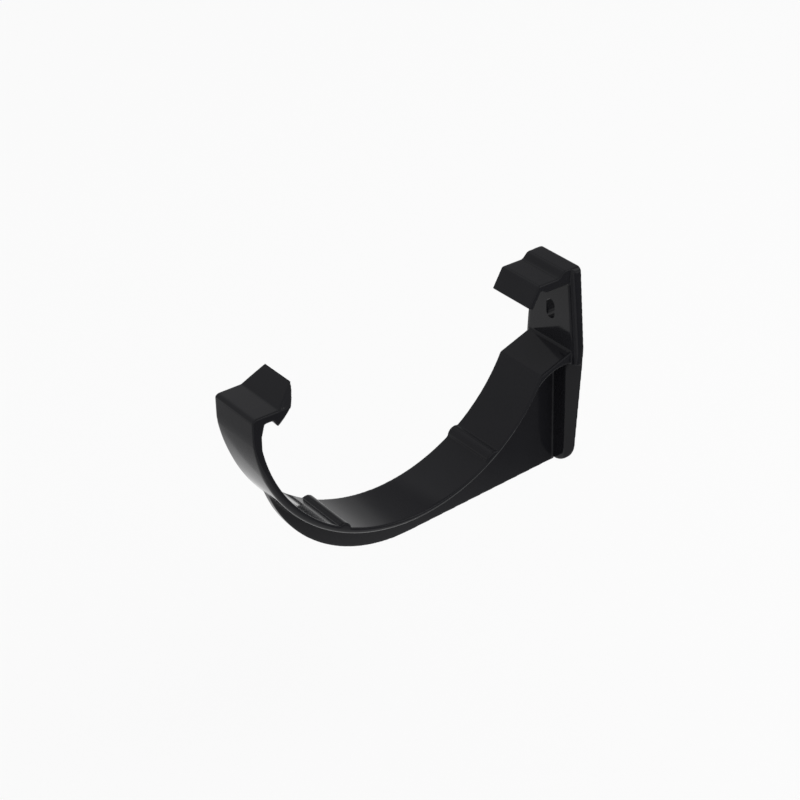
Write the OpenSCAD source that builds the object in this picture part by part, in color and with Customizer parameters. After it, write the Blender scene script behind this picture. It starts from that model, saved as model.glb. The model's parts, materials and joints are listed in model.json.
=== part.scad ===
// Fascia bracket for a half-round gutter, moulded in one piece.
// Frame: +Z up, +Y into the fascia board, +X along the gutter.
// Origin: centre of the fixing slot, on the back face of the plate.

/* [Gutter] */
// Radius of the half-round gutter that the strap holds
gutter_r = 56; // [54:0.5:58]
// Distance from the fascia board to the gutter's axis
axis_out = 66; // [65:0.5:68]
// Height of the gutter's axis above the fixing slot
axis_up = 8.4; // [7:0.2:10]

/* [Strap] */
// Width of the strap under the gutter
strap_w = 20.6; // [18:0.2:22]
// Width of the strap at the front clip
clip_w = 19.4; // [17:0.2:20.4]
// Thickness of the strap at the front clip
strap_t_front = 2.6; // [2.2:0.1:3]
// Thickness of the strap at its back end
strap_t_back = 1.6; // [1.2:0.1:2]
// Angle behind the lowest point where the strap turns into the shoulder
strap_back = 64; // [62:1:66]

/* [Support ribs] */
// Angle of the front rib, ahead of the lowest point
rib_front = 29; // [20:1:40]
// Angle of the back rib, behind the lowest point
rib_back = 33; // [25:1:40]
// Width of a rib, measured along the strap
rib_w = 5; // [3:0.5:7]
// Height of a rib above the strap's inner face
rib_h = 1.4; // [0.8:0.1:2]

/* [Web] */
// Thickness of the web below the strap
web_t = 3; // [2:0.2:5]
// Depth of the web's lowest point below the strap's inner face
web_depth = 12.6; // [10:0.2:14]
// Rise of the web's straight bottom edge, in degrees
web_rise = 2.6; // [1:0.2:5]

/* [Plate] */
// Thickness of the back plate at its top
plate_t = 4.1; // [3.6:0.1:5]
// Thickness of the back plate at its foot
foot_t = 2; // [1.6:0.1:3]
// Width of the plate at its top
plate_top_w = 20; // [18:0.2:21]
// Width of the plate at its widest place, behind the shoulder
plate_mid_w = 25.2; // [22:0.2:27]
// Width of the plate just above its rounded foot
plate_foot_w = 20.8; // [18:0.2:22]
// Radius of the plate's two bottom corners
foot_r = 8.8; // [6:0.2:8.8]
// Width of the fixing slot
slot_w = 4; // [3.6:0.2:5.2]
// Height of the fixing slot
slot_h = 7; // [6:0.2:9]

/* [Hook] */
// Thickness of the hook's arm
arm_t = 3.2; // [2.6:0.1:3.8]
// Thickness of the hook's lip
lip_t = 1.8; // [1.4:0.1:2.4]
// Width of the hook
hook_w = 17.8; // [14:0.2:18]

/* [Clip] */
// Thickness of the clip's front wall
clip_wall = 3.1; // [2.8:0.1:3.6]
// Thickness of the clip's top
clip_roof = 2.6; // [2:0.1:3]
// Width of the thumb tab at its top edge
tab_top_w = 13; // [9:0.5:16]

/* [Hidden] */
$fn = 96;
join = 0.6;                  // overlap that makes neighbouring forms one solid
far = 200;                   // reach of a cutting shape beyond the part
over = 1.015;                // makes a rounding cross its faces instead of just touching them

// The strap's inner face is an arc round the gutter's axis. Its outer face is an arc whose
// centre lies a little further forward, so the strap thins evenly towards the back.
arc_shift = (strap_t_front - strap_t_back) / (1 + sin(strap_back));
strap_outer_r = gutter_r + strap_t_front - arc_shift;

// Points below are [forward-to-back, up], measured from the gutter's axis.
plate_top = 9.4;
plate_foot = -gutter_r - 8.8;
widest_z = -18.6;            // where the plate is widest
step_z = -24.7;              // underside of the shoulder, where the plate's sides step in
step_in = 0.2;               // how much narrower a side is there than at the widest place
foot_z = plate_foot + foot_r;
side_r = 2.4;                // rounding of the plate's front edges above the step
bevel_lean = 26;             // slope of the plate's bevelled front edges below the step
bevel_edge = 0.7;            // thickness left at the outer edge of a bevel
top_r = 1.6;                 // rounding of the plate's top corners

shoulder_front = [gutter_r * sin(strap_back), -gutter_r * cos(strap_back)];
shoulder_back = [axis_out - plate_t + 1, -20.1];
shoulder_arc_r = 15.3;       // hollow underside of the shoulder
shoulder_arc_c = [shoulder_front.x + 10.1, step_z - shoulder_arc_r];

arm_top = 7.4;
arm_front = axis_out - 16.7;
pad_front = axis_out - 6.3;  // front edge of the raised pad on top of the plate
pad_slope = 2;               // depth of the slope from the pad down to the arm
fold_r = 1.6;                // rounding where the pad folds down to the arm
bend_r = 1.2;                // rounding where the arm bends down into the lip
lip_foot = [axis_out - 20.5, 0.8];
root_share = 0.15;           // share of the lip's length that its sloping root takes up
root_run = 1.6;              // how far that slope runs back under the arm

clip_top = 0.8;
wall_out = gutter_r + 2.15;  // the clip's front face stands upright here
valley = [-gutter_r + 7.1, clip_top];
peak = [-gutter_r + 13.5, 6.8];
catch_c = [-gutter_r - 3.3, 9.9];
catch_r = 17.2;              // rounded back of the thumb tab and of the catch below it
catch_root = [-gutter_r + 5, -2];
catch_tip = [-gutter_r + 6.5, -4.2];
corner_r = 1.4;              // rounding of the clip's outer top edge

// Distance from the gutter's axis to the front of the plate, which thins towards its foot.
function plate_front(z) =
    axis_out - plate_t + (plate_t - foot_t) * (plate_top - z) / (plate_top - plate_foot);
plate_draft = atan((plate_t - foot_t) / (plate_top - plate_foot));

// Points that round an outline's corner between the points before and after it.
function rounded(before, corner, after, r, steps = 6) =
    let (a = (before - corner) / norm(before - corner),
         b = (after - corner) / norm(after - corner),
         half = acos(a * b) / 2,
         centre = corner + (a + b) / norm(a + b) * r / sin(half),
         start = corner + a * r / tan(half) - centre,
         turn = sign(cross(start, b)) * (180 - 2 * half))
    [for (i = [0 : steps]) centre + turned(start, turn * i / steps)];
function turned(v, angle) =
    [v.x * cos(angle) - v.y * sin(angle), v.x * sin(angle) + v.y * cos(angle)];

// Turns a drawing in [forward-to-back, up] into a body w wide, centred on the bracket's middle.
module across(w) {
    rotate([90, 0, 90]) linear_extrude(height = w, center = true) children();
}

// Everything ahead of the gutter's axis narrows from the strap's width to the clip's width.
module plan_taper() {
    half = strap_w / 2;
    tip = clip_w / 2;
    translate([0, 0, -far / 2]) linear_extrude(height = far)
        polygon([[-half, 0], [-half, axis_out - 1], [half, axis_out - 1],
                 [half, 0], [tip, -wall_out - 1], [-tip, -wall_out - 1]]);
}

module strap_section() {
    intersection() {
        difference() {
            translate([-arc_shift, 0]) circle(r = strap_outer_r);
            circle(r = gutter_r);
        }
        polygon([[0, 0], [-wall_out, 0], [-wall_out, -far],
                 [far * sin(strap_back), -far], [far * sin(strap_back), -far * cos(strap_back)]]);
    }
}

module rib_section(angle) {
    bar_r = (rib_h * rib_h + rib_w * rib_w / 4) / (2 * rib_h);
    seat_r = gutter_r + bar_r - rib_h;
    intersection() {
        translate([-seat_r * sin(angle), -seat_r * cos(angle)]) circle(r = bar_r);
        circle(r = gutter_r + join);
    }
}

// The shoulder carries the strap's load from its back end into the plate.
module shoulder_section() {
    difference() {
        polygon([shoulder_front, shoulder_back, [axis_out - 1, shoulder_back.y],
                 [axis_out - 1, step_z], [shoulder_arc_c.x, step_z],
                 [shoulder_front.x - 1, shoulder_front.y - 6],
                 [shoulder_front.x - 2, shoulder_front.y - 5]]);
        translate(shoulder_arc_c) circle(r = shoulder_arc_r);
    }
}

module clip_section() {
    ceiling = clip_top - clip_roof;
    wall_in = wall_out - clip_wall;
    wall_foot = -sqrt(gutter_r * gutter_r - wall_in * wall_in);
    // front wall and flat top
    difference() {
        union() {
            translate([-wall_out, wall_foot - join])
                square([clip_wall, clip_top - wall_foot + join]);
            translate([-wall_out, ceiling]) square([wall_out + valley.x, clip_roof]);
            polygon([[-wall_in - join, ceiling], [-wall_in - join, ceiling - 4],
                     [-wall_in, ceiling - 4], [-wall_in + 1.1, ceiling]]);
        }
        translate([-wall_out, clip_top - corner_r]) difference() {
            translate([-join, 0]) square([corner_r + join, corner_r + join]);
            translate([corner_r, 0]) circle(r = corner_r);
        }
        translate([-arc_shift, 0]) difference() {
            translate([-far, wall_foot - 2 * join]) square([far, 2 * join - wall_foot - 6]);
            circle(r = strap_outer_r);
        }
    }
    // thumb tab above, gutter catch below, on one rounded back
    intersection() {
        translate(catch_c) circle(r = catch_r);
        polygon([valley, 2 * peak - valley, [peak.x + 10, catch_tip.y], catch_tip, catch_root,
                 [catch_root.x - join, ceiling], [catch_root.x - join, clip_top]]);
    }
}

// The thumb tab narrows towards its top edge.
module tab_taper() {
    half = clip_w / 2 + join;
    root = clip_w / 2;
    tip = tab_top_w / 2;
    rotate([90, 0, 0]) linear_extrude(height = 2 * far, center = true)
        polygon([[-half, -far], [half, -far], [half, valley.y - 1], [root, valley.y],
                 [tip, peak.y], [tip, peak.y + 5], [-tip, peak.y + 5], [-tip, peak.y],
                 [-root, valley.y], [-half, valley.y - 1]]);
}

module strap() {
    intersection() {
        across(strap_w) {
            strap_section();
            rib_section(rib_front);
            rib_section(-rib_back);
            shoulder_section();
        }
        plan_taper();
    }
    intersection() {
        across(strap_w) clip_section();
        plan_taper();
        tab_taper();
    }
}

// Upright web under the strap: it swells out of the strap's front underside on an arc,
// then runs almost level to the foot of the plate.
module web() {
    web_r = gutter_r - 3.8;
    web_c = [0.9, web_r - gutter_r - web_depth];
    edge_start = web_c + web_r * [sin(web_rise), -cos(web_rise)];
    edge_end = [axis_out - 1,
                edge_start.y + (axis_out - 1 - edge_start.x) * tan(web_rise)];
    top = shoulder_front + [-0.5, -1];
    across(web_t) difference() {
        union() {
            translate(web_c) circle(r = web_r);
            polygon([web_c, edge_start, edge_end, [edge_end.x, shoulder_back.y - 1],
                     shoulder_front]);
        }
        circle(r = gutter_r + strap_t_back / 2);
        polygon([top, [axis_out, shoulder_back.y - 1], [axis_out, far], [top.x, far]]);
    }
}

// Front view of the plate, as [across, up].
module plate_outline() {
    top = plate_top_w / 2;
    mid = plate_mid_w / 2;
    foot = plate_foot_w / 2;
    polygon([[-mid + step_in, step_z], [-mid, widest_z], [-top, plate_top - top_r],
             [-top + top_r, plate_top], [top - top_r, plate_top], [top, plate_top - top_r],
             [mid, widest_z], [mid - step_in, step_z], [foot, foot_z],
             [foot - foot_r, plate_foot], [foot_r - foot, plate_foot], [-foot, foot_z]]);
    for (side = [-1, 1]) {
        translate([side * (top - top_r), plate_top - top_r]) circle(r = top_r);
        translate([side * (foot - foot_r), foot_z]) circle(r = foot_r);
    }
}

// Part of the plate between two heights, before its front edges are shaped.
module plate_blank(low, high) {
    intersection() {
        translate([0, axis_out, 0]) rotate([90, 0, 0])
            linear_extrude(height = 2 * plate_t) plate_outline();
        across(plate_mid_w + 2)
            polygon([[plate_front(high), high], [axis_out, high],
                     [axis_out, low], [plate_front(low), low]]);
    }
}

// Cuts a rounding along a front edge of the plate. The line runs up the edge, from one
// [across, up] point to another.
module edge_rounding(from, to) {
    line = to - from;
    translate([from.x, plate_front(from.y), from.y])
        rotate([plate_draft, atan2(line.x, line.y), 0])
            linear_extrude(height = norm(line)) difference() {
                translate([-side_r, -join]) square([side_r + join, side_r + join]);
                translate([-side_r, side_r]) circle(r = side_r * over);
            }
}

// Cuts a sloping face along a front edge of the plate, up the same kind of line.
module edge_bevel(from, to) {
    line = to - from;
    rise = plate_t + join;
    translate([from.x, axis_out - bevel_edge, from.y])
        rotate([0, atan2(line.x, line.y), 0])
            linear_extrude(height = norm(line))
                polygon([[0, 0], [-rise / tan(bevel_lean), -rise], [join, -rise], [join, 0]]);
}

module fixing_slot() {
    reach = (slot_h - slot_w) / 2;
    translate([0, axis_out + join, -axis_up]) rotate([90, 0, 0])
        linear_extrude(height = plate_t + 2 * join) {
            for (end = [-1, 1]) translate([0, end * reach]) circle(r = slot_w / 2);
            square([slot_w, 2 * reach], center = true);
        }
}

// Above the step the plate's front edges are rounded. Below it they are bevelled.
module plate() {
    upper = [(plate_top_w - plate_mid_w) / 2, plate_top - widest_z];
    step = [plate_mid_w / 2 - step_in, step_z];
    lower = step - [plate_foot_w / 2, foot_z];
    difference() {
        union() {
            difference() {
                plate_blank(step_z, plate_top + 1);
                for (half = [0, 1]) mirror([half, 0, 0])
                    edge_rounding([plate_mid_w / 2, widest_z] - upper / 3,
                                  [plate_top_w / 2, plate_top] + upper / 10);
            }
            difference() {
                plate_blank(plate_foot - 1, step_z);
                for (half = [0, 1]) mirror([half, 0, 0])
                    edge_bevel(step - lower * 1.5, step + lower / 10);
            }
        }
        fixing_slot();
    }
}

// Rear hook: a raised pad on the plate's top, an arm over the gutter's back edge and a lip.
module hook_section() {
    back = axis_out - 1;
    bend = [arm_front, arm_top];
    lip_run = bend - lip_foot;
    lip_in = [lip_run.y, -lip_run.x] / norm(lip_run) * lip_t;
    pad = [pad_front, plate_top];
    arm = [pad_front - pad_slope, arm_top];
    polygon(concat([[back, plate_top]], rounded([back, plate_top], pad, arm, fold_r),
                   rounded(pad, arm, bend, fold_r), rounded(arm, bend, lip_foot, bend_r),
                   [lip_foot, lip_foot + lip_in, bend + lip_in - root_share * lip_run,
                    [arm_front + lip_in.x + root_run, arm_top - arm_t], [back, arm_top - arm_t]]));
}

module bracket() {
    color([0.06, 0.06, 0.07]) translate([0, -axis_out, axis_up]) {
        strap();
        web();
        plate();
        across(hook_w) hook_section();
    }
}

bracket();
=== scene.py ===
"""Looks of a moulded fascia bracket for a half-round gutter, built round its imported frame."""

import json
from math import acos, asin, cos, pi, radians, sin, sqrt, tan

import bmesh
import bpy
from mathutils import Matrix, Vector

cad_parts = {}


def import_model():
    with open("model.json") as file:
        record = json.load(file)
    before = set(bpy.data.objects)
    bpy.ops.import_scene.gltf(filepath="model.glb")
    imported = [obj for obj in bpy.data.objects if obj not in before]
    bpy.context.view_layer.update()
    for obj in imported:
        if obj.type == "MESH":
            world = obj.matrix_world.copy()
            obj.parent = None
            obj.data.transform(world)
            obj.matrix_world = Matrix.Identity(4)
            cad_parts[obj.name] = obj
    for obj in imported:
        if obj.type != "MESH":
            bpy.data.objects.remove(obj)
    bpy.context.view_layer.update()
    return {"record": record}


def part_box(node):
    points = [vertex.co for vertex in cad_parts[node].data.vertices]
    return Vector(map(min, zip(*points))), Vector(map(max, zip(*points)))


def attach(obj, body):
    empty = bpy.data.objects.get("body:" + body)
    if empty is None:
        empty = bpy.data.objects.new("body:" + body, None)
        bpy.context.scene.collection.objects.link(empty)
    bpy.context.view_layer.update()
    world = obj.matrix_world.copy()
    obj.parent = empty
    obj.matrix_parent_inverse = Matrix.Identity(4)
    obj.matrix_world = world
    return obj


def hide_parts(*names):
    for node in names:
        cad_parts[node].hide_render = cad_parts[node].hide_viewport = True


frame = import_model()

MM = 0.001
RECORD = frame["record"]
LOW, HIGH = (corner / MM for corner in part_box("bracket"))
MOUNTS = {mount["name"]: mount for mount in RECORD["mounts"]}
AXIS = Vector(MOUNTS["gutter_seat"]["pos_m"]) / MM     # a point on the gutter's axis

# ---------------------------------------------------------------- camera

CAMERA_TURN = radians(51.42)      # how far the camera stands round from the gutter's line
CAMERA_TILT = radians(31.57)      # how far it looks down
CAMERA_BACK = 601.3               # distance from the gutter's axis, in millimetres
CAMERA_ASIDE = 13.5
CAMERA_BELOW = 16.1
CAMERA_LENS = 90
CAMERA_SHIFT = -0.05


def place_camera():
    right = Vector((cos(CAMERA_TURN), sin(CAMERA_TURN), 0))
    ahead = Vector((-sin(CAMERA_TURN) * cos(CAMERA_TILT),
                    cos(CAMERA_TURN) * cos(CAMERA_TILT), -sin(CAMERA_TILT)))
    up = right.cross(ahead)
    place = AXIS + CAMERA_ASIDE * right - CAMERA_BELOW * up - CAMERA_BACK * ahead
    data = bpy.data.cameras.new("camera")
    data.lens = CAMERA_LENS
    data.shift_x = CAMERA_SHIFT
    data.clip_start = 0.01
    camera = bpy.data.objects.new("camera", data)
    turn = Matrix((right, up, -ahead)).transposed().to_4x4()
    camera.matrix_world = Matrix.Translation(place * MM) @ turn
    bpy.context.scene.collection.objects.link(camera)
    bpy.context.scene.camera = camera


place_camera()

# ---------------------------------------------------------------- sizes, in millimetres

# Places are [back, up] from the gutter's axis, and [across] from the bracket's middle.
GUTTER_R = 56
AXIS_OUT = -AXIS.y
AXIS_UP = AXIS.z

STRAP_W = 20.6
CLIP_W = 19.4
STRAP_T_FRONT = 2.6
STRAP_T_BACK = 1.6
STRAP_BACK = radians(64)
UNDER_EDGE_R = 1.4   # rounding of the edges of the strap's and the shoulder's underside
UNDER_EDGE_RUN = 14  # the rounding grows over this height, down from the clip
FRONT_EASE_R = 30    # bend that carries the clip's front face on into the strap

RIB_FRONT = radians(-29)
RIB_BACK = radians(33)
RIB_W = 5
RIB_H = 1.4

WEB_T = 3
WEB_DEPTH = 12.6
WEB_RISE = radians(2.6)

PLATE_T = 4.1
FOOT_T = 2
PLATE_TOP_W = 20
PLATE_MID_W = HIGH.x - LOW.x
PLATE_FOOT_W = 20.8
PLATE_TOP = HIGH.z - AXIS_UP
PLATE_FOOT = -GUTTER_R - 8.8
WIDEST_Z = -18.6
STEP_Z = -24.7
STEP_IN = 0.2
TOP_R = 1.6
FOOT_R = 8.8
FOOT_Z = PLATE_FOOT + FOOT_R
SIDE_R = 2.4
BEVEL_LEAN = radians(26)
BEVEL_EDGE = 0.7
SLOT_W = 4
SLOT_H = 7

SHOULDER_FRONT = Vector((GUTTER_R * sin(STRAP_BACK), -GUTTER_R * cos(STRAP_BACK)))
SHOULDER_BACK = Vector((AXIS_OUT - PLATE_T + 1, -20.1))
SHOULDER_ARC_R = 15.3
SHOULDER_ARC_C = Vector((SHOULDER_FRONT.x + 10.1, STEP_Z - SHOULDER_ARC_R))

HOOK_W = 17.8
ARM_T = 3.2
LIP_T = 1.8
ARM_TOP = 7.4
ARM_FRONT = AXIS_OUT - 16.7
PAD_FRONT = AXIS_OUT - 6.3
PAD_SLOPE = 2
FOLD_R = 1.6
BEND_R = 1.2
LIP_FOOT = Vector((AXIS_OUT - 20.5, 0.8))
LIP_ROOT_SHARE = 0.15
LIP_ROOT_RUN = 1.6

CLIP_TOP = 0.8
CLIP_WALL = 3.1
CLIP_ROOF = 2.6
WALL_OUT = AXIS.y - LOW.y                              # the clip's front face, ahead of the axis
WALL_SLANT = Vector((1.1, 4))                          # the wall thickens up to the ceiling
TAB_TOP_W = 13
VALLEY = Vector((-GUTTER_R + 7.1, CLIP_TOP))
PEAK = Vector((-GUTTER_R + 13.5, 6.8))
CATCH_C = Vector((-GUTTER_R - 3.3, 9.9))
CATCH_R = 17.2
CATCH_ROOT = Vector((-GUTTER_R + 5, -2))
CATCH_TIP = Vector((-GUTTER_R + 6.5, -4.2))
CORNER_R = 1.4

ARC_SHIFT = (STRAP_T_FRONT - STRAP_T_BACK) / (1 + sin(STRAP_BACK))
STRAP_OUTER_R = GUTTER_R + STRAP_T_FRONT - ARC_SHIFT
WALL_LOW = -sqrt(STRAP_OUTER_R ** 2 - (WALL_OUT - ARC_SHIFT) ** 2)   # foot of the front face

SINK = 0.6           # neighbouring forms run this far into each other
FAR = 200            # reach of a cutting form past the bracket
ARC_STEP = 0.4       # longest chord on an arc
GRAIN = 0.24         # size of the faces that the finished skin starts from
EASING = 10          # passes that round the skin's edges and corners, as in a polished mould
KEPT_FACES = 0.28    # share of the skin's faces kept where it is flat or gently curved


def plate_front(z):
    return AXIS_OUT - PLATE_T + (PLATE_T - FOOT_T) * (PLATE_TOP - z) / (PLATE_TOP - PLATE_FOOT)


# ---------------------------------------------------------------- forms


def arc(centre, radius, start, end):
    """Points on an arc. Angles are measured from straight down, towards the back."""
    steps = max(2, round(abs(end - start) * radius / ARC_STEP))
    angles = (start + (end - start) * i / steps for i in range(steps + 1))
    return [Vector((centre[0] + radius * sin(a), centre[1] - radius * cos(a))) for a in angles]


def rounded(before, corner, after, radius):
    """Points that round the corner between the points before and after it."""
    a = (Vector(before) - corner).normalized()
    b = (Vector(after) - corner).normalized()
    half = a.angle(b) / 2
    centre = corner + (a + b).normalized() * radius / sin(half)
    start = corner + a * radius / tan(half) - centre
    end = corner + b * radius / tan(half) - centre
    return [centre + start.normalized().slerp(end.normalized(), i / 8) * radius
            for i in range(9)]


def loft(name, *rings):
    """A closed body through rings of as many points each."""
    n = len(rings[0])
    last = n * (len(rings) - 1)
    faces = [tuple(range(n)), tuple(reversed(range(last, last + n)))]
    for k in range(0, last, n):
        faces += [(k + (i + 1) % n, k + i, k + i + n, k + (i + 1) % n + n) for i in range(n)]
    mesh = bpy.data.meshes.new(name)
    mesh.from_pydata([tuple(p) for ring in rings for p in ring], [], faces)
    mesh.validate()
    body = bpy.data.objects.new(name, mesh)
    bpy.context.scene.collection.objects.link(body)
    face_outwards(body)
    return body


def face_outwards(body):
    b = bmesh.new()
    b.from_mesh(body.data)
    bmesh.ops.recalc_face_normals(b, faces=b.faces)
    b.to_mesh(body.data)
    b.free()


def half_width(back):
    """Half the strap's width: ahead of the gutter's axis it narrows towards the clip."""
    ahead = min(1, max(0, -back / (WALL_OUT + 1)))
    return (STRAP_W + (CLIP_W - STRAP_W) * ahead) / 2


def across(name, outline, half):
    """A body with this [back, up] outline, as wide to each side as half says."""
    width = half if callable(half) else (lambda point: half)
    rings = [[(side * width(p), p[0], p[1]) for p in outline] for side in (1, -1)]
    return loft(name, *rings)


def across_eased(name, firm, eased, centre, outwards):
    """The same, with this arc of the outline rounded over along both sides."""
    rings = []
    for side in (-1, 1):
        for turn in (radians(angle) for angle in range(0, 91, 15)):
            ring = [(side * (half_width(p[0]) - UNDER_EDGE_R * (1 - sin(turn))), p[0], p[1])
                    for p in firm]
            for p in eased:
                radius = UNDER_EDGE_R * min(1, max(0, WALL_LOW - p.y) / UNDER_EDGE_RUN)
                at = p - (p - centre).normalized() * outwards * radius * (1 - cos(turn))
                ring.append((side * (half_width(p.x) - radius * (1 - sin(turn))), at.x, at.y))
            rings.append(ring)
    return loft(name, *rings[6::-1], *rings[7:])


def settle(body):
    """The body's modifiers become its mesh."""
    bpy.context.view_layer.update()
    ready = body.evaluated_get(bpy.context.evaluated_depsgraph_get())
    done = bpy.data.meshes.new_from_object(ready)
    body.modifiers.clear()
    body.data = done
    return body


def combine(body, operation, others):
    for other in others:
        step = body.modifiers.new(operation, "BOOLEAN")
        step.operation = operation
        step.solver = "MANIFOLD"
        step.object = other
        settle(body)
        bpy.data.objects.remove(other)
    return body


def join(body, *others):
    return combine(body, "UNION", others)


def cut(body, *others):
    return combine(body, "DIFFERENCE", others)


def common(body, *others):
    return combine(body, "INTERSECT", others)


# ---------------------------------------------------------------- the bracket's forms


def strap():
    """The long arc under the gutter. It thins evenly towards the back."""
    outer_c = Vector((-ARC_SHIFT, 0))
    corner = Vector((-WALL_OUT, WALL_LOW))
    tangent = Vector((-WALL_LOW, -outer_c.x - WALL_OUT)).normalized()
    bend = rounded((-WALL_OUT, 0), corner, corner + tangent, FRONT_EASE_R)
    outer_front = -asin((outer_c.x - bend[-1].x) / STRAP_OUTER_R)
    outer_back = STRAP_BACK + asin(ARC_SHIFT * cos(STRAP_BACK) / STRAP_OUTER_R)
    inner = arc((0, 0), GUTTER_R, -pi / 2, STRAP_BACK)
    outer = arc(outer_c, STRAP_OUTER_R, outer_back, outer_front) + bend[-2::-1]
    return across_eased("strap", [Vector((-WALL_OUT, 0))] + inner, outer, outer_c, 1)


def rib(angle):
    """A low rounded bar across the strap's inner face."""
    bar_r = (RIB_H ** 2 + RIB_W ** 2 / 4) / (2 * RIB_H)
    seat_r = GUTTER_R + bar_r - RIB_H
    spread = asin(RIB_W / 2 / bar_r) + 0.2
    centre = (seat_r * sin(angle), -seat_r * cos(angle))
    bar = arc(centre, bar_r, angle + pi - spread, angle + pi + spread)
    return across("rib", bar, lambda p: half_width(p[0]))


def shoulder():
    """Carries the strap's load from its back end into the plate. Its underside is hollow."""
    hollow_end = SHOULDER_FRONT.x - 1.4
    lean = acos((hollow_end - SHOULDER_ARC_C.x) / SHOULDER_ARC_R)
    underside = arc(SHOULDER_ARC_C, SHOULDER_ARC_R, pi, lean + pi / 2)
    inside = AXIS_OUT - 1
    outline = [SHOULDER_FRONT + Vector((-1, -3.2)), SHOULDER_FRONT, SHOULDER_BACK,
               Vector((inside, SHOULDER_BACK.y)), Vector((inside, STEP_Z))]
    return across_eased("shoulder", outline, underside, SHOULDER_ARC_C, -1)


def clip():
    """Front wall, flat top and the catch that holds the gutter's bead."""
    ceiling = CLIP_TOP - CLIP_ROOF
    wall_in = WALL_OUT - CLIP_WALL
    wall_foot = -sqrt(GUTTER_R ** 2 - wall_in ** 2)
    corner = arc((-WALL_OUT + CORNER_R, CLIP_TOP - CORNER_R), CORNER_R, -pi / 2, -pi)
    back = catch_arc(CLIP_TOP, CATCH_TIP.y)
    inner = [CATCH_TIP, CATCH_ROOT, (CATCH_ROOT.x - SINK, ceiling),
             (-wall_in + WALL_SLANT.x, ceiling), (-wall_in, ceiling - WALL_SLANT.y),
             (-wall_in, wall_foot - SINK), (-WALL_OUT + 2 * SINK, wall_foot - SINK)]
    outline = [(-WALL_OUT, WALL_LOW / 2)] + corner + back + inner
    return across("clip", outline, lambda p: half_width(p[0]))


def catch_arc(top, bottom):
    """The rounded back that the thumb tab and the catch share, from one height down to another."""
    start, end = (pi - acos((z - CATCH_C.y) / CATCH_R) for z in (top, bottom))
    return arc(CATCH_C, CATCH_R, start, end)


def thumb_tab():
    """Stands on the clip's top and narrows towards its upper edge."""
    slope = (PEAK - VALLEY).normalized()
    reach = (VALLEY - CATCH_C).dot(slope)
    off = (VALLEY - CATCH_C).length_squared - CATCH_R ** 2
    edge = VALLEY + slope * (sqrt(reach ** 2 - off) - reach)
    root = half_width(VALLEY.x)
    narrowing = (root - TAB_TOP_W / 2) / (PEAK.y - VALLEY.y)

    def half(p):
        return root - narrowing * max(0, p[1] - VALLEY.y)

    foot = catch_arc(edge.y, CLIP_TOP)
    sunk = [(foot[-1].x - SINK, CLIP_TOP - SINK), (VALLEY.x + SINK, CLIP_TOP - SINK)]
    return across("thumb_tab", [VALLEY] + foot + sunk, half)


def web():
    """Upright web under the strap. It ends in the foot of the plate."""
    web_r = GUTTER_R - 3.8
    web_c = Vector((0.9, web_r - GUTTER_R - WEB_DEPTH))
    swell = arc(web_c, web_r, radians(-85), WEB_RISE)
    edge_end = Vector((AXIS_OUT - 1, swell[-1].y + (AXIS_OUT - 1 - swell[-1].x) * tan(WEB_RISE)))
    top = SHOULDER_FRONT + Vector((-0.5, -1))
    body = across("web", swell + [edge_end, (edge_end.x, SHOULDER_BACK.y - 1), top], WEB_T / 2)
    middle = arc((0, 0), GUTTER_R + STRAP_T_BACK / 2, radians(-100), STRAP_BACK + 0.02)
    return cut(body, across("above_strap", middle + [(0, FAR)], FAR))


def plate_outline():
    """Front view of the plate, as [across, up], round from its top left corner."""
    top, mid, foot = PLATE_TOP_W / 2, PLATE_MID_W / 2, PLATE_FOOT_W / 2
    right = arc((top - TOP_R, PLATE_TOP - TOP_R), TOP_R, pi, pi / 2)
    right += [Vector((mid, WIDEST_Z)), Vector((mid - STEP_IN, STEP_Z))]
    right += arc((foot - FOOT_R, FOOT_Z), FOOT_R, pi / 2, 0)
    return right + [Vector((-p.x, p.y)) for p in reversed(right)]


def plate_blank(low, high):
    ends = [[(x, y, z) for x, z in plate_outline()] for y in (AXIS_OUT, AXIS_OUT - 2 * PLATE_T)]
    side = [(plate_front(high), high), (AXIS_OUT, high), (AXIS_OUT, low), (plate_front(low), low)]
    return common(loft("plate", *ends), across("side", side, PLATE_MID_W))


def edge_tools(start, end, section):
    """Tools along both front edges of the plate, between two [across, up] points."""
    inwards = Vector((start.y - end.y, end.x - start.x)).normalized()
    tools = []
    for side in (1, -1):
        rings = []
        for point in (start, end):
            places = [(point + inwards * deep, back) for deep, back in section(point.y)]
            rings.append([(side * at.x, back, at.y) for at, back in places])
        tools.append(loft("edge_tool", *rings))
    return tools


def rounding(z):
    """Section of the tool that rounds the plate's front edge, as [inwards, back]."""
    front = plate_front(z)
    turns = [pi / 2 * i / 12 for i in range(13)]
    hollow = [(SIDE_R * (1 - cos(a)), front + SIDE_R * (1 - sin(a))) for a in turns]
    return [(-SINK, front - SINK), (-SINK, front + SIDE_R)] + hollow + [(SIDE_R, front - SINK)]


def bevel(z):
    """Section of the tool that bevels the plate's edge: the slope runs out near the board."""
    edge = AXIS_OUT - BEVEL_EDGE
    front = edge - PLATE_T
    return [(-SINK, edge), (0, edge), (PLATE_T / tan(BEVEL_LEAN), front), (-SINK, front)]


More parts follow.
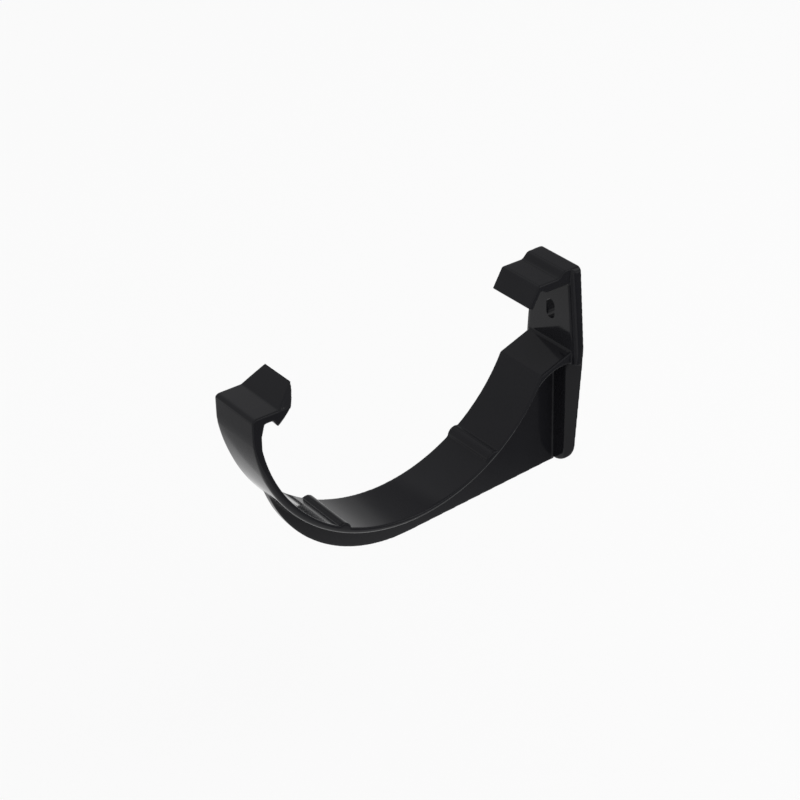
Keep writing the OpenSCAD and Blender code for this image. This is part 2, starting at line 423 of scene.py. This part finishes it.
def plate():
    """The back plate. Its front edges are rounded above the step and bevelled below it."""
    widest = Vector((PLATE_MID_W / 2, WIDEST_Z))
    top = Vector((PLATE_TOP_W / 2, PLATE_TOP))
    step = Vector((PLATE_MID_W / 2 - STEP_IN, STEP_Z))
    foot = Vector((PLATE_FOOT_W / 2, FOOT_Z))
    upper = cut(plate_blank(STEP_Z, PLATE_TOP + 1),
                *edge_tools(widest.lerp(top, -1 / 3), widest.lerp(top, 1.1), rounding))
    lower = cut(plate_blank(PLATE_FOOT - 1, STEP_Z + 0.05),
                *edge_tools(step.lerp(foot, 1.5), step.lerp(foot, -0.1), bevel))
    return join(upper, lower)


def fixing_slot():
    """The form that cuts the upright slot for the screw."""
    reach = (SLOT_H - SLOT_W) / 2
    outline = arc((0, reach - AXIS_UP), SLOT_W / 2, pi * 1.5, pi / 2)
    outline += arc((0, -reach - AXIS_UP), SLOT_W / 2, pi / 2, -pi / 2)
    ends = (AXIS_OUT + 1, AXIS_OUT - PLATE_T - 1)
    return loft("slot", *[[(x, y, z) for x, z in outline] for y in ends])


def hook():
    """A raised pad on the plate's top, an arm over the gutter's back edge and a lip."""
    back = Vector((AXIS_OUT - 1, PLATE_TOP))
    pad = Vector((PAD_FRONT, PLATE_TOP))
    arm = Vector((PAD_FRONT - PAD_SLOPE, ARM_TOP))
    bend = Vector((ARM_FRONT, ARM_TOP))
    lip_run = bend - LIP_FOOT
    lip_in = Vector((lip_run.y, -lip_run.x)).normalized() * LIP_T
    outline = [back] + rounded(back, pad, arm, FOLD_R) + rounded(pad, arm, bend, FOLD_R)
    outline += rounded(arm, bend, LIP_FOOT, BEND_R)
    outline += [LIP_FOOT, LIP_FOOT + lip_in, bend + lip_in - LIP_ROOT_SHARE * lip_run,
                (ARM_FRONT + lip_in.x + LIP_ROOT_RUN, ARM_TOP - ARM_T),
                (back.x, ARM_TOP - ARM_T)]
    return across("hook", outline, HOOK_W / 2)


def moulded_skin(body):
    """One closed skin with the small roundings that a moulding has. The slot stays crisp."""
    skin = body.modifiers.new("skin", "REMESH")
    skin.mode = "VOXEL"
    skin.voxel_size = GRAIN
    ease = body.modifiers.new("ease", "SMOOTH")
    ease.iterations = EASING
    ease.factor = 0.5
    settle(body)
    cut(body, fixing_slot())
    thin = body.modifiers.new("thin", "DECIMATE")
    thin.ratio = KEPT_FACES
    settle(body)
    body.data.transform(Matrix.Scale(MM, 4) @ Matrix.Translation((0, AXIS.y, AXIS.z)))
    body.data.shade_smooth()
    body.data.set_sharp_from_angle(angle=radians(50))
    return body


def make_bracket():
    body = join(strap(), rib(RIB_FRONT), rib(RIB_BACK), shoulder(), clip(), thumb_tab(),
                web(), plate(), hook())
    body.name = body.data.name = "moulded_bracket"
    moulded_skin(body)
    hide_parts("bracket")
    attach(body, "root")
    return body


bracket = make_bracket()

# ---------------------------------------------------------------- finish


class Link:
    """An output socket. Sums and products of links and numbers add Math nodes."""

    def __init__(self, nodes, socket):
        self.nodes = nodes
        self.socket = socket

    def __add__(self, other):
        return self.nodes.maths("ADD", self, other)

    __radd__ = __add__

    def __sub__(self, other):
        return self.nodes.maths("SUBTRACT", self, other)

    def __rsub__(self, other):
        return self.nodes.maths("SUBTRACT", other, self)

    def __mul__(self, other):
        return self.nodes.maths("MULTIPLY", self, other)

    __rmul__ = __mul__


class Nodes:
    """The nodes of one material or world."""

    def __init__(self, tree):
        self.tree = tree
        tree.nodes.clear()

    def add(self, kind, settings=None, inputs=None, out=0):
        """A node with these settings, and values or links for its sockets. Gives its output."""
        node = self.tree.nodes.new(kind)
        for name, value in (settings or {}).items():
            setattr(node, name, value)
        for name, value in (inputs or {}).items():
            if isinstance(value, Link):
                self.tree.links.new(value.socket, node.inputs[name])
            else:
                node.inputs[name].default_value = value
        return Link(self, node.outputs[out]) if len(node.outputs) else node

    def maths(self, operation, a, b):
        return self.add("ShaderNodeMath", {"operation": operation}, {0: a, 1: b})


def black_plastic():
    """Gloss black moulded plastic with a faint unevenness in its gloss."""
    material = bpy.data.materials.new("black_plastic")
    material.use_nodes = True
    n = Nodes(material.node_tree)
    place = n.add("ShaderNodeTexCoord", out=3)
    cloud = n.add("ShaderNodeTexNoise", None, {"Vector": place, "Scale": 70, "Detail": 3})
    grain = n.add("ShaderNodeTexNoise", None, {"Vector": place, "Scale": 2600, "Detail": 2})
    ripple = n.add("ShaderNodeTexNoise", None, {"Vector": place, "Scale": 160, "Detail": 1})
    colour = n.add("ShaderNodeMix", {"data_type": "RGBA"},
                   {0: cloud, 6: (0.0075, 0.0075, 0.009, 1), 7: (0.0105, 0.0105, 0.0125, 1)}, out=2)
    relief = ripple * 0.5 + grain * 0.03
    bump = n.add("ShaderNodeBump", None, {"Strength": 0.4, "Distance": 0.00004, "Height": relief})
    plastic = n.add("ShaderNodeBsdfPrincipled", None, {
        "Base Color": colour, "Roughness": cloud * 0.06 + 0.06, "Normal": bump,
        "IOR": 1.35, "Specular IOR Level": 0.25})
    n.add("ShaderNodeOutputMaterial", None, {"Surface": plastic})
    return material


bracket.data.materials.clear()
bracket.data.materials.append(black_plastic())

# ---------------------------------------------------------------- set

FLOOR_UP = LOW.z - 90
FLOOR_SIZE = 12      # in metres
FLOOR_WHITE = 0.75   # how much of the floor shows as plain white
CARD_UP = FLOOR_UP + 2
CARD_STEPS = 48
SKY_LIGHT = 0.95     # strength of the light that the sky gives
SKY_DIMS = (-0.1, 0.2)        # between these heights gloss shows the sky dimmer and dimmer
SKY_LEAN = 0.15               # the dimming starts this much lower in front than behind
SKY_HIGH = 0.7                # its strength above them
SKY_SHADES = (0.97, 1.06)     # a darker shade starts here, high up and behind
SKY_DARK = 0.45               # its share of the strength


def seen_rays(n):
    """1 for the rays that see the set: from the camera, off gloss and through glass."""
    camera, gloss, glass = (n.add("ShaderNodeLightPath", out=name) for name in
                            ("Is Camera Ray", "Is Glossy Ray", "Is Transmission Ray"))
    return n.maths("MAXIMUM", camera, n.maths("MAXIMUM", gloss, glass))


def floor():
    """Pale and plain. The share of it that is matt keeps the bracket's shadow."""
    material = bpy.data.materials.new("pale_floor")
    material.use_nodes = True
    n = Nodes(material.node_tree)
    matt = n.add("ShaderNodeBsdfDiffuse", None, {"Color": (0.82, 0.82, 0.82, 1)})
    white = n.add("ShaderNodeEmission", None, {"Color": (1, 1, 1, 1), "Strength": 1})
    both = n.add("ShaderNodeMixShader", None, {0: seen_rays(n) * FLOOR_WHITE, 1: matt, 2: white})
    n.add("ShaderNodeOutputMaterial", None, {"Surface": both})
    bpy.ops.mesh.primitive_plane_add(size=FLOOR_SIZE, location=(0, 0, FLOOR_UP * MM))
    plane = bpy.context.object
    plane.name = "floor"
    plane.data.materials.append(material)


def world():
    """Pale all round. What gloss shows of it dims upwards from the horizon behind the board."""
    sky = bpy.data.worlds.new("studio")
    bpy.context.scene.world = sky
    sky.use_nodes = True
    n = Nodes(sky.node_tree)
    place = n.add("ShaderNodeTexCoord", out=0)
    height = n.add("ShaderNodeSeparateXYZ", None, {0: place}, out=2)
    behind = n.add("ShaderNodeSeparateXYZ", None, {0: place}, out=1)
    dimming = n.add("ShaderNodeMapRange", {"interpolation_type": "SMOOTHSTEP"},
                    {0: height - behind * SKY_LEAN, 1: SKY_DIMS[0], 2: SKY_DIMS[1],
                     3: 1, 4: SKY_HIGH})
    shading = n.add("ShaderNodeMapRange", {"interpolation_type": "SMOOTHSTEP"},
                    {0: height + behind, 1: SKY_SHADES[0], 2: SKY_SHADES[1], 3: 1, 4: SKY_DARK})
    light = n.add("ShaderNodeBackground", None, {"Color": (1, 1, 1, 1), "Strength": SKY_LIGHT})
    white = n.add("ShaderNodeBackground", None, {"Color": (1, 1, 1, 1), "Strength": dimming * shading})
    both = n.add("ShaderNodeMixShader", None, {0: seen_rays(n), 1: light, 2: white})
    n.add("ShaderNodeOutputWorld", None, {"Surface": both})


def card(name, tones, starts, end, reach, fade):
    """A card lying just above the floor, part of a ring round the bracket. Only gloss shows
    it. It spans the two distances of reach from the gutter's axis. The turns where it starts,
    at its near and far edge, and where it ends are in degrees from the gutter's line, towards
    the board. Its tone changes outwards between the two distances of fade."""
    material = bpy.data.materials.new(name)
    material.use_nodes = True
    n = Nodes(material.node_tree)
    place = n.add("ShaderNodeNewGeometry")
    out = n.add("ShaderNodeVectorMath", {"operation": "DISTANCE"},
                {0: place, 1: (0, AXIS.y * MM, FLOOR_UP * MM)}, out=1)
    shade = n.add("ShaderNodeMapRange", {"interpolation_type": "SMOOTHSTEP"},
                  {0: out, 1: fade[0] * MM, 2: fade[1] * MM, 3: tones[0], 4: tones[1]})
    paint = n.add("ShaderNodeEmission", None, {"Color": shade, "Strength": 1})
    n.add("ShaderNodeOutputMaterial", None, {"Surface": paint})
    points = []
    for start, far in zip(starts, reach):
        for i in range(CARD_STEPS + 1):
            turn = radians(start + (end - start) * i / CARD_STEPS)
            points.append(Vector((far * cos(turn), AXIS.y + far * sin(turn), CARD_UP)) * MM)
    row = CARD_STEPS + 1
    mesh = bpy.data.meshes.new(name)
    mesh.from_pydata(points, [], [(i, i + 1, row + i + 1, row + i) for i in range(CARD_STEPS)])
    mesh.materials.append(material)
    sheet = bpy.data.objects.new(name, mesh)
    bpy.context.scene.collection.objects.link(sheet)
    sheet.visible_camera = False
    sheet.visible_diffuse = False
    sheet.visible_shadow = False


def lamp(name, size, watts, place, aim):
    """A soft square lamp, turned towards its aim."""
    data = bpy.data.lights.new(name, "AREA")
    data.size = size
    data.energy = watts
    body = bpy.data.objects.new(name, data)
    body.location = place
    body.rotation_euler = (aim - place).to_track_quat("-Z", "Y").to_euler()
    body.visible_camera = False
    bpy.context.scene.collection.objects.link(body)


floor()
world()
card("right_card", (1, 0.2), (-10, -10), 75, (90, 650), (100, 200))
card("back_card", (0.35, 0.9), (75, 75), 132, (60, 650), (110, 190))
card("left_card", (1, 0.03), (132, 132), 178, (90, 375), (235, 305))
card("front_card", (0.75, 0.5), (180, 227), 252, (90, 650), (105, 190))
card("corner_card", (1, 0.6), (252, 252), 320, (90, 650), (105, 190))
lamp("rim", 0.8, 3, AXIS * MM + Vector((0.63, 0.64, 0.8)), AXIS * MM)

scene = bpy.context.scene
scene.view_settings.view_transform = "Standard"
